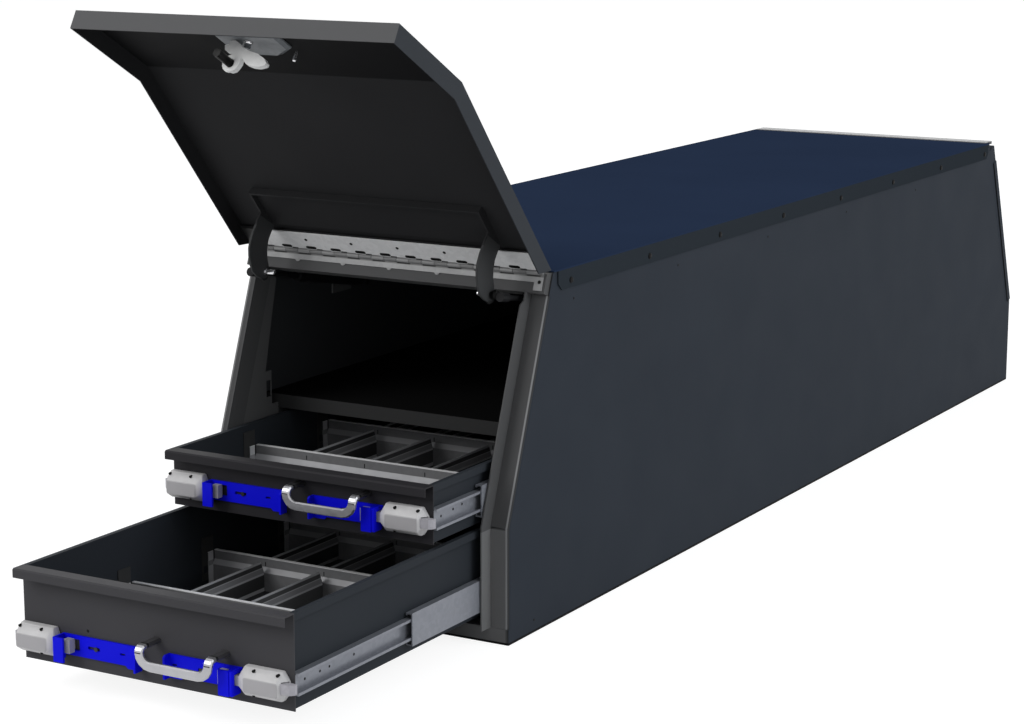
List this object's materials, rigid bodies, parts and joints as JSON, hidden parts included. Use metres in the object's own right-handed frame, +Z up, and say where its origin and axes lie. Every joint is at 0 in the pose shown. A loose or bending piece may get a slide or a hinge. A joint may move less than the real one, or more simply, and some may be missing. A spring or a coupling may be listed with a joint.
{
  "type": "truck bed drawer toolbox",
  "caption": "Long side-mounted truck bed toolbox with a kinked front lid on a piano hinge over an open compartment and sliding drawers with slam latches.",
  "frame": {"origin": "underside of the floor pan, at the middle of the cabinet's width and length", "axes": "+X to the right seen from the drawers, +Y from the drawer end to the rear end, +Z up"},
  "size_m": [0.5046, 2.5237, 0.8586],
  "materials": {
    "body_paint": "satin charcoal powder coat",
    "bay_paint": "satin black powder coat",
    "base_paint": "black paint",
    "roof_paint": "satin dark blue powder coat",
    "lid_paint": "satin charcoal powder coat",
    "hinge_zinc": "zinc-plated steel",
    "slide_zinc": "zinc-plated steel",
    "divider_zinc": "galvanised sheet",
    "handle_satin": "satin chrome",
    "lower_drawer_paint": "satin charcoal powder coat",
    "upper_drawer_paint": "satin charcoal powder coat",
    "latch_case": "light grey casting",
    "bolt_grey": "grey steel",
    "lever_blue": "bright blue paint",
    "strut_rod_steel": "bright steel rod",
    "strut_cylinder_paint": "black paint",
    "latch_plate_steel": "dark painted steel",
    "claw_grey": "light grey casting",
    "lid_handle_black": "black moulding",
    "rear_door_paint": "satin charcoal powder coat",
    "rear_latch_black": "black moulding"
  },
  "bodies": {
    "cabinet": {"front_sill": "body_paint", "side_panel_left": "body_paint", "side_panel_right": "body_paint", "front_header": "body_paint", "front_post_left": "body_paint", "front_post_right": "body_paint", "rear_lower_panel": "body_paint", "rear_frame": "body_paint", "bay_wall_left": "bay_paint", "bay_wall_right": "bay_paint", "shelf": "bay_paint", "floor_pan": "base_paint", "roof_panel": "roof_paint", "hinge_frame_leaf": "hinge_zinc", "hinge_pin": "hinge_zinc", "rear_hinge_strip": "hinge_zinc", "lower_slide_outer_left": "slide_zinc", "lower_slide_outer_right": "slide_zinc", "upper_slide_outer_left": "slide_zinc", "upper_slide_outer_right": "slide_zinc"},
    "lid": {"lid_panel": "lid_paint", "strut_lever": "lid_paint", "hinge_lid_leaf": "hinge_zinc", "lid_latch_plate": "latch_plate_steel"},
    "lid_claw": {"lid_latch_claw": "claw_grey"},
    "lid_paddle": {"lid_handle": "lid_handle_black"},
    "strut_rods": {"strut_rod_left": "strut_rod_steel", "strut_rod_right": "strut_rod_steel"},
    "strut_cylinders": {"strut_cylinder_left": "strut_cylinder_paint", "strut_cylinder_right": "strut_cylinder_paint"},
    "rear_door": {"rear_door": "rear_door_paint"},
    "rear_latch": {"rear_latch": "rear_latch_black"},
    "lower_drawer": {"lower_drawer_box": "lower_drawer_paint", "lower_drawer_front": "lower_drawer_paint", "lower_dividers": "divider_zinc", "lower_handle": "handle_satin", "lower_slide_inner_left": "slide_zinc", "lower_latch_case_left": "latch_case", "lower_slide_inner_right": "slide_zinc", "lower_latch_case_right": "latch_case"},
    "lower_middles": {"lower_slide_middle_left": "slide_zinc", "lower_slide_middle_right": "slide_zinc"},
    "lower_latch_left": {"lower_bolt_left": "bolt_grey", "lower_lever_left": "lever_blue"},
    "lower_latch_right": {"lower_bolt_right": "bolt_grey", "lower_lever_right": "lever_blue"},
    "upper_drawer": {"upper_drawer_box": "upper_drawer_paint", "upper_drawer_front": "upper_drawer_paint", "upper_dividers": "divider_zinc", "upper_handle": "handle_satin", "upper_slide_inner_left": "slide_zinc", "upper_latch_case_left": "latch_case", "upper_slide_inner_right": "slide_zinc", "upper_latch_case_right": "latch_case"},
    "upper_middles": {"upper_slide_middle_left": "slide_zinc", "upper_slide_middle_right": "slide_zinc"},
    "upper_latch_left": {"upper_bolt_left": "bolt_grey", "upper_lever_left": "lever_blue"},
    "upper_latch_right": {"upper_bolt_right": "bolt_grey", "upper_lever_right": "lever_blue"}
  },
  "joints": [
    {"name": "lid_hinge", "type": "hinge", "parent": "cabinet", "child": "lid", "pos_m": [0, -0.91057, 0.49855], "axis": [1, 0, 0], "range_deg": [0, 119.5]},
    {"name": "strut_rod_turn", "type": "hinge", "parent": "lid", "child": "strut_rods", "pos_m": [0, -0.95867, 0.46988], "axis": [1, 0, 0], "range_deg": [-126, 0]},
    {"name": "strut_cylinder_slide", "type": "slide", "parent": "strut_rods", "child": "strut_cylinders", "axis": [0, 0.9825, -0.1862], "range_m": [-0.0945, 0]},
    {"name": "lower_drawer_slide", "type": "slide", "parent": "cabinet", "child": "lower_drawer", "axis": [0, 1, 0], "range_m": [0, 0.5265]},
    {"name": "lower_middle_slide", "type": "slide", "parent": "cabinet", "child": "lower_middles", "axis": [0, 1, 0], "range_m": [0, 0.2714]},
    {"name": "lower_latch_left_slide", "type": "slide", "parent": "lower_drawer", "child": "lower_latch_left", "axis": [-1, 0, 0], "range_m": [-0.0115, 0.0034], "stiffness_N_per_m": 150},
    {"name": "lower_latch_right_slide", "type": "slide", "parent": "lower_drawer", "child": "lower_latch_right", "axis": [1, 0, 0], "range_m": [-0.0115, 0.0034], "stiffness_N_per_m": 150},
    {"name": "upper_drawer_slide", "type": "slide", "parent": "cabinet", "child": "upper_drawer", "axis": [0, 1, 0], "range_m": [0, 0.2315]},
    {"name": "upper_middle_slide", "type": "slide", "parent": "cabinet", "child": "upper_middles", "axis": [0, 1, 0], "range_m": [0, 0.1195]},
    {"name": "upper_latch_left_slide", "type": "slide", "parent": "upper_drawer", "child": "upper_latch_left", "axis": [-1, 0, 0], "range_m": [-0.0115, 0.0034], "stiffness_N_per_m": 150},
    {"name": "upper_latch_right_slide", "type": "slide", "parent": "upper_drawer", "child": "upper_latch_right", "axis": [1, 0, 0], "range_m": [-0.0115, 0.0034], "stiffness_N_per_m": 150},
    {"name": "lid_paddle_hinge", "type": "hinge", "parent": "lid", "child": "lid_paddle", "pos_m": [0, -1.19209, 0.81033], "axis": [-1, 0, 0], "range_deg": [0, 35]},
    {"name": "lid_claw_turn", "type": "hinge", "parent": "lid", "child": "lid_claw", "pos_m": [-0.0255, -1.25501, 0.80066], "axis": [0, 0.8704, -0.4924], "range_deg": [0, 40.5]},
    {"name": "rear_door_hinge", "type": "hinge", "parent": "cabinet", "child": "rear_door", "pos_m": [0, 0.885, 0.4986], "axis": [1, 0, 0], "range_deg": [0, 110]},
    {"name": "rear_latch_turn", "type": "hinge", "parent": "rear_door", "child": "rear_latch", "pos_m": [0, 0.99203, 0.22549], "axis": [0, 0.9317, 0.3632], "range_deg": [0, 90]}
  ],
  "couplings": [
    {"joint": "strut_rod_turn", "follows": "lid_hinge", "ratio": -1.0458},
    {"joint": "strut_cylinder_slide", "follows": "lid_hinge", "m_per_rad": -0.044911},
    {"joint": "lower_drawer_slide", "follows": "lid_hinge", "m_per_rad": 0.2522},
    {"joint": "lower_middle_slide", "follows": "lid_hinge", "m_per_rad": 0.12988},
    {"joint": "upper_drawer_slide", "follows": "lid_hinge", "m_per_rad": 0.11076},
    {"joint": "upper_middle_slide", "follows": "lid_hinge", "m_per_rad": 0.057039},
    {"joint": "lid_claw_turn", "follows": "lid_paddle_hinge", "ratio": 1.1429}
  ]
}
